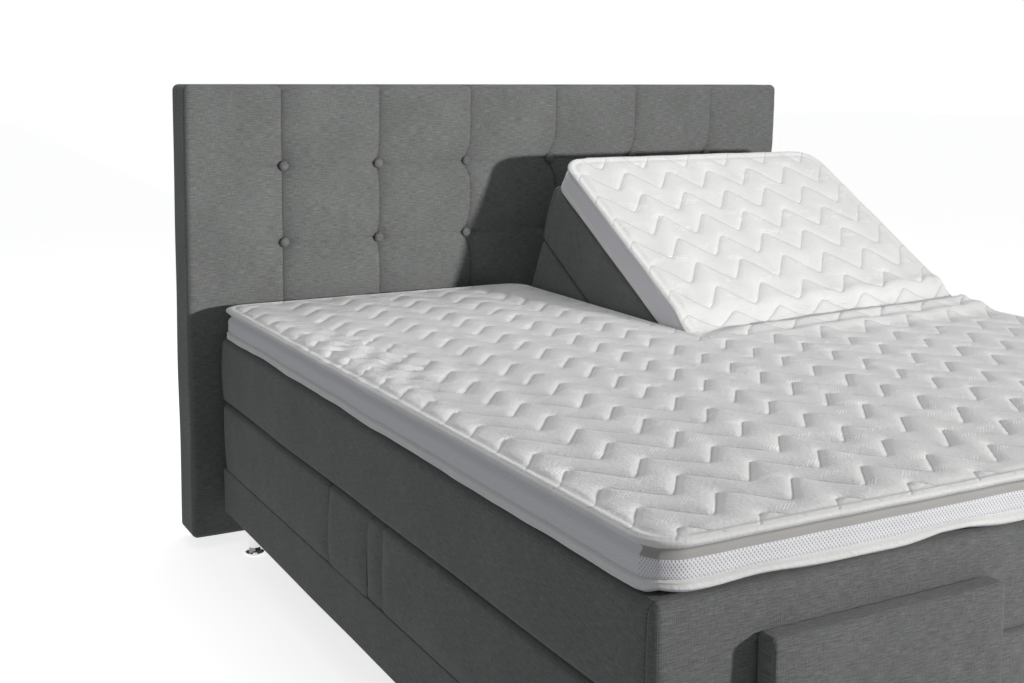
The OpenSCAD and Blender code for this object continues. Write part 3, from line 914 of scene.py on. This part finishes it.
def make_mattress(side):
    """A half's mattress, in lengths cut near the back hinge and the thigh hinge; the right head length is
    drawn bent to rest.
    """
    head = mattress_cushion(side, CUT_SEAT, Y_HEAD, ("low",))
    if side == "right":
        head.p[:, 1] += MATTRESS_LEAN * head.share(2) * smooth(head.q[:, 1], Y_HEAD - 0.30, Y_HEAD)
        head.p = bend_to_rest(head.p)
    seat = mattress_cushion(side, CUT_THIGH, CUT_SEAT, ("low", "high"))
    foot = mattress_cushion(side, Y_FOOT, CUT_THIGH, ("high",))
    head, seat, foot = (make_object(f"mattress_{part}_{side}", [c])
                        for part, c in (("head", head), ("seat", seat), ("foot", foot)))
    blend_back(head)
    bend_over(seat)
    blend_knee(foot)
    for obj, bodies in ((head, ["back"]), (seat, ["seat"]), (foot, ["thigh", "calf"])):
        soft_piece(obj, [f"{body}_mattress_{side}" for body in bodies])


# ----- Topper: quilted cover over foam, split at the head
TOPPER_CLOTHS = ["ticking", "border", "mesh", "tape", "quilt", "recess"]
TICKING, BORDER, MESH, TAPE, QUILT, RECESS_SHADE = range(6)
QUILT_PUFF, QUILT_ROUND = 0.0072, 0.0078
TOP_SUNK = 0.0055
TOP_STEP = 0.0054
TOP_EDGE, TOP_CORNER = 0.0085, 0.062
SIDE_GAP = 0.002
SPLIT_GAP = 0.003
# The topper's side: depth in metres, then place and width as shares of its height, of its rolled edge,
# recess, mesh band, zip groove, zip lip and lower border
SIDE_PROFILE = ((0.0055, 0.93, 0.07), (-0.0095, 0.74, 0.085), (-0.0010, 0.45, 0.13),
                (-0.0045, 0.265, 0.022), (0.0034, 0.205, 0.028), (0.0035, 0.09, 0.085))
TAPE_LOW, TAPE_HIGH, MESH_LOW, MESH_HIGH, RECESS_HIGH = 0.19, 0.25, 0.27, 0.64, 0.84
LIFT = 0.0105
# Rolls of cover along the fold: height, place from the fold, width, sway, and where across the bed they rise
ROLLS = ((0.016, -0.018, 0.026, 1.0, (0.0, 0.015)), (0.010, -0.085, 0.026, 1.8, (0.12, 0.40)),
         (0.007, 0.075, 0.022, 1.0, (0.25, 0.6)))


def quilt(x, y):
    """Height of the quilting: rows of rounded zigzags, puffed between their grooves."""
    phase = TURN * (x - QUILT_START[0]) / QUILT_PERIOD
    bent = QUILT_BEND * np.sin(phase)
    zigzag = np.arcsin(bent) * (2 / math.pi) * QUILT_SWING
    slope = 4 * QUILT_SWING * QUILT_BEND / QUILT_PERIOD * np.cos(phase) / np.sqrt(1 - bent ** 2)
    row = (y - QUILT_START[1] - zigzag) / QUILT_ROW
    away = abs(row - np.round(row)) * QUILT_ROW / np.sqrt(1 + slope ** 2)
    return 1 - np.exp(-(away / QUILT_ROUND) ** 0.85)


def topper_cushion(x, y_low, y_high, cuts):
    """A length of the topper; its ends that aren't cut have rounded corners."""
    return Cushion((x[0], y_low, Z_MATTRESS + 0.001), (x[1], y_high, Z_TOPPER), TOP_STEP, TOP_EDGE,
                   corner=0.0 if len(cuts) == 2 else TOP_CORNER, cuts=cuts, z_step=0.0032)


def shape_topper(c, split=None):
    """Quilted top, rolled edges, a recessed band and a piped lower border. split is the x of a split side."""
    x, y, z = c.q.T
    t = c.share(2)
    tight = 1.0 if split is None else 1 - 0.65 * (abs(x - split) < 0.08)
    rim = np.minimum(abs(x - c.low[0]), abs(x - c.high[0]))
    if "low" not in c.cuts:
        rim = np.minimum(rim, y - c.low[1])
    if "high" not in c.cuts:
        rim = np.minimum(rim, c.high[1] - y)
    flat_top = smooth(rim, 0.012, 0.045)
    calm = 1.0 if split is None or split < 0 else 1 - 0.85 * bump_at(y, Y_BACK, 0.090)
    height = quilt(x, y) * QUILT_PUFF * flat_top * calm - TOP_SUNK * flat_top
    height += waves(x, y, 0.10, 51) * 0.0012 * flat_top + waves(x, y, 0.5, 52) * 0.0015 * flat_top
    height -= 0.0030 * bump_at(rim, 0.020, 0.006)
    profile = sum(depth * bump_at(t, place, width) for depth, place, width in SIDE_PROFILE)
    wobble = waves(x + y, z * 0.3, 0.16, 53) * 0.0016
    c.push(c.up * height + c.sideways * tight * (profile + wobble * c.sideways))


def lift_border(c):
    """The lower border waves up and down a little along the outer edges."""
    x, y = c.q[:, 0], c.q[:, 1]
    low = 1 - smooth(c.share(2), 0.0, 0.45)
    edge = (1 - smooth(-X_OUT - SIDE_GAP - abs(x), 0.0, 0.05)) * 0.35
    if "low" not in c.cuts:
        edge = np.maximum(edge, 1 - smooth(y, Y_FOOT, Y_FOOT + 0.06))
    lift = 0.5 + 0.6 * waves(x + y * 0.7, x * 0, 0.24, 54)
    c.p[:, 2] += np.clip(lift, 0, 1) * LIFT * low * edge


def topper_slots(c):
    """The cloth of each face, as its place in TOPPER_CLOTHS. The foot has a mesh band, and a grey cloth in
    its recess that paints the recess's shade.
    """
    centre = c.face_centres()
    t = (centre[:, 2] - c.low[2]) / (c.high[2] - c.low[2])
    on_side = c.sides < 4
    slots = np.full(len(t), TICKING)
    slots[on_side & (t > TAPE_HIGH) & (t < RECESS_HIGH)] = BORDER
    foot = on_side & (centre[:, 1] < Y_FOOT + 0.045)
    slots[foot & (t > MESH_LOW) & (t < MESH_HIGH)] = MESH
    # Painted shade: the foot's recess, under its rolled edge, gets the grey cloth
    slots[foot & (t > MESH_HIGH) & (t < RECESS_HIGH)] = RECESS_SHADE
    slots[on_side & (t > TAPE_LOW) & (t < TAPE_HIGH)] = TAPE
    slots[c.sides == 4] = BORDER
    slots[c.sides == 5] = QUILT
    return slots


def narrow_split(c, side):
    """Closes the split towards its end, where the two heads join the seat piece."""
    s = SIDES[side]
    x, y = c.q[:, 0], c.q[:, 1]
    ramp = smooth(y, CUT_SEAT, CUT_SEAT + 0.075)
    near = abs(x) < 0.03
    for axis in (0, 2):
        c.p[:, axis] = np.where(near, c.q[:, axis] + (c.p[:, axis] - c.q[:, axis]) * ramp, c.p[:, axis])
    c.p[:, 0] -= s * SPLIT_GAP * (1 - ramp) * near * (1 - abs(x) / 0.03)


def fold_rolls(c):
    """Softens the raised half's fold, with rolls of cover pushed up along it away from the split."""
    x, y = c.p[:, 0], c.p[:, 1]
    fade = smooth(x, 0.015, 0.17)
    sway = 0.014 * waves(x, x * 0, 0.70, 61)
    climb = abs(y - FOLD_Y) * math.tan(REST)
    ease = 0.005 + 0.017 * smooth(x, 0.02, 0.88)
    fillet = (np.sqrt(climb ** 2 + 4 * ease ** 2) - climb) / 2
    near = smooth(x, -0.004, 0.02) * (1 - smooth(abs(y - FOLD_Y), 0.06, 0.14))
    rolls = sum(high * bump_at(y, FOLD_Y + place + sway * swing, width) * smooth(x, *rise)
                for high, place, width, swing, rise in ROLLS)
    c.p[:, 2] += c.up * (fillet * near + fade * rolls)


def edge_wrinkles(c):
    """Small bunched folds near the left edge, where the cover is pulled over its roll."""
    x, y = c.q[:, 0], c.q[:, 1]
    place = bump_at(x, -0.79, 0.085) * bump_at(y, 0.18, 0.30)
    bunch = np.sin(TURN * (y * 0.8 + x * 0.55 + 0.012 * waves(x, y, 0.12, 62)) / 0.055)
    bunch += 0.6 * np.sin(TURN * (y * 0.7 - x * 0.9) / 0.08 + 0.7)
    c.push(c.up * place * bunch * 0.0042)


def topper_object(part, c):
    return make_object(f"topper_{part}", [c], TOPPER_CLOTHS, topper_slots(c))


def make_topper():
    """One topper, split at the head, in lengths cut near the hinges; the right head is drawn bent to rest."""
    outer = X_OUT + SIDE_GAP
    for side, sign in SIDES.items():
        slid = TOPPER_SLIDE if side == "right" else 0
        c = topper_cushion(mirrored(side, outer, -SPLIT_GAP), CUT_SEAT, Y_HEAD - SIDE_GAP + slid, ("low",))
        shape_topper(c, split=sign * SPLIT_GAP)
        if side == "left":
            edge_wrinkles(c)
        lift_border(c)
        narrow_split(c, side)
        if side == "right":
            c.p = bend_to_rest(c.p)
            fold_rolls(c)
        obj = topper_object(f"head_{side}", c)
        blend_back(obj)
        soft_piece(obj, [f"back_topper_{side}"])
    seat = topper_cushion((outer, -outer), CUT_THIGH, CUT_SEAT, ("low", "high"))
    foot = topper_cushion((outer, -outer), Y_FOOT + SIDE_GAP, CUT_THIGH, ("high",))
    for c in (seat, foot):
        shape_topper(c)
        edge_wrinkles(c)
        lift_border(c)
    fold_rolls(seat)
    obj = topper_object("seat", seat)
    bend_over(obj)
    soft_piece(obj, ["seat_topper"])
    obj = topper_object("foot", foot)
    blend_knee(obj)
    soft_piece(obj, ["thigh_topper", "calf_topper"])


# ----- Padded panels at the foot
PANEL_WIDER, PANEL_LOWER = 0.018, 0.009
PANEL_EDGE, PANEL_STEP = 0.0085, 0.010


def make_panel(side):
    """A foot panel's cushion: a little wider towards the outside and lower than its CAD solid."""
    low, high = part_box(f"foot_panel_{side}")
    x = (low.x - PANEL_WIDER, high.x) if side == "left" else (low.x, high.x + PANEL_WIDER)
    c = Cushion((x[0], low.y, low.z), (x[1], high.y, high.z - PANEL_LOWER), PANEL_STEP, PANEL_EDGE,
                corner=PANEL_EDGE, hidden=(3,))
    front = np.clip(-c.n[:, 1], 0, 1)
    x, z = (np.clip(c.share(axis), 0, 1) for axis in (0, 2))
    crown = 0.0035 * (4 * x * (1 - x)) ** 0.35 * (4 * z * (1 - z)) ** 0.35
    c.push(front * (crown - 0.0010 + waves(c.q[:, 0], c.q[:, 2], 0.20, 71) * 0.0007))
    obj = make_object(f"foot_panel_cushion_{side}", [c])
    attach(obj, f"calf_{side}")
    soft_piece(obj, [f"foot_panel_{side}"])


for side_name in SIDES:
    make_rails(side_name)
    make_boxes(side_name)
    make_mattress(side_name)
    make_panel(side_name)
make_topper()


# ----- CAD parts that keep their shape, with better materials
KEPT = {
    "headboard_core": "wood", "headboard_back_cloth": "backing", "headboard_brackets": "steel",
    "frame_connectors": "steel", "control_box": "plastic", "leg_": "chrome", "fixed_hinges": "steel",
    "back_lever": "steel", "thigh_lever": "steel", "calf_hinges": "steel", "back_motor": "plastic",
    "leg_motor": "plastic", "back_rod": "rod", "leg_rod": "rod", "panel_bracket": "steel",
}


def finish_cad_parts():
    """Gives each kept CAD part the material of the longest matching start of its name."""
    for name, node in frame["nodes"].items():
        starts = [start for start in KEPT if name.startswith(start)]
        if starts:
            material = MATERIALS[KEPT[max(starts, key=len)]]
            if not node.data.materials:
                node.data.materials.append(material)
            for slot in range(len(node.data.materials)):
                node.data.materials[slot] = material


finish_cad_parts()


# ----- Floor and light
AMBIENT, BACKDROP = 0.30, 1.0
AMBIENT_COLOUR, WHITE = (0.97, 0.98, 1.0, 1), (1, 1, 1, 1)
FLOOR_HALF, FLOOR_GLOW = 30, 0.74
KEY_PLACE, KEY_TARGET = (0.75, -2.45, 1.15), (-0.35, 0.05, 0.70)
KEY_HALF_ANGLE, KEY_RADIUS, KEY_STRENGTH, KEY_COLOUR = 60, 0.07, 37, (1.0, 0.99, 0.965)
TOP_PLACE, TOP_TARGET, TOP_SIZE, TOP_POWER = (0.4, 1.7, 4.2), (0.0, -0.3, 0.5), 3.2, 63


def make_floor():
    """A pale floor that glows enough to merge with the white backdrop, and lights nothing itself."""
    mesh = bpy.data.meshes.new("floor")
    h = FLOOR_HALF
    mesh.from_pydata([(-h, -h, 0), (h, -h, 0), (h, h, 0), (-h, h, 0)], [], [(0, 1, 2, 3)])
    floor = new_object("floor", mesh)
    n = Nodes("pale_floor")
    grain = n.noise(n.add("TexCoord").outputs["Object"], 3.0, 3.0, 0.5)
    n.set(Base_Color=n.ramp(grain, [(0.3, grey(0.80)), (0.7, grey(0.83))]), Roughness=0.9,
          Emission_Color=WHITE, Emission_Strength=FLOOR_GLOW)
    floor.visible_diffuse = False
    mesh.materials.append(n.material)


def make_world():
    """An even, dim sky that lights the bed, seen as plain white behind it."""
    world = bpy.data.worlds.new("studio")
    bpy.context.scene.world = world
    world.use_nodes = True
    tree = world.node_tree
    lit, seen = tree.nodes["Background"], tree.nodes.new("ShaderNodeBackground")
    for node, colour, strength in ((lit, AMBIENT_COLOUR, AMBIENT), (seen, WHITE, BACKDROP)):
        node.inputs["Color"].default_value = colour
        node.inputs["Strength"].default_value = strength
    choice, path = tree.nodes.new("ShaderNodeMixShader"), tree.nodes.new("ShaderNodeLightPath")
    tree.links.new(path.outputs["Is Camera Ray"], choice.inputs[0])
    tree.links.new(lit.outputs[0], choice.inputs[1])
    tree.links.new(seen.outputs[0], choice.inputs[2])
    tree.links.new(choice.outputs[0], tree.nodes["World Output"].inputs["Surface"])


def add_light(name, kind, place, target):
    """A light at a place, aimed at a target; gives its data."""
    light = new_object(name, bpy.data.lights.new(name, kind))
    light.location = place
    light.rotation_mode = "QUATERNION"
    light.rotation_quaternion = (Vector(target) - Vector(place)).to_track_quat("-Z", "Y")
    return light.data


def make_lights():
    """A focused studio lamp near the foot, even in strength over the bed's length, and a wide top light."""
    key = add_light("key", "SPOT", KEY_PLACE, KEY_TARGET)
    key.spot_size, key.spot_blend = 2 * math.radians(KEY_HALF_ANGLE), 1.0
    key.shadow_soft_size = KEY_RADIUS
    key.energy = 1.0
    key.color = KEY_COLOUR
    key.use_nodes = True
    tree = key.node_tree
    falloff = tree.nodes.new("ShaderNodeLightFalloff")
    falloff.inputs["Strength"].default_value = KEY_STRENGTH
    tree.links.new(falloff.outputs["Constant"], tree.nodes["Emission"].inputs["Strength"])
    top = add_light("top", "AREA", TOP_PLACE, TOP_TARGET)
    top.size = TOP_SIZE
    top.energy = TOP_POWER


bpy.context.scene.view_settings.view_transform = "Standard"
make_floor()
make_world()
make_lights()
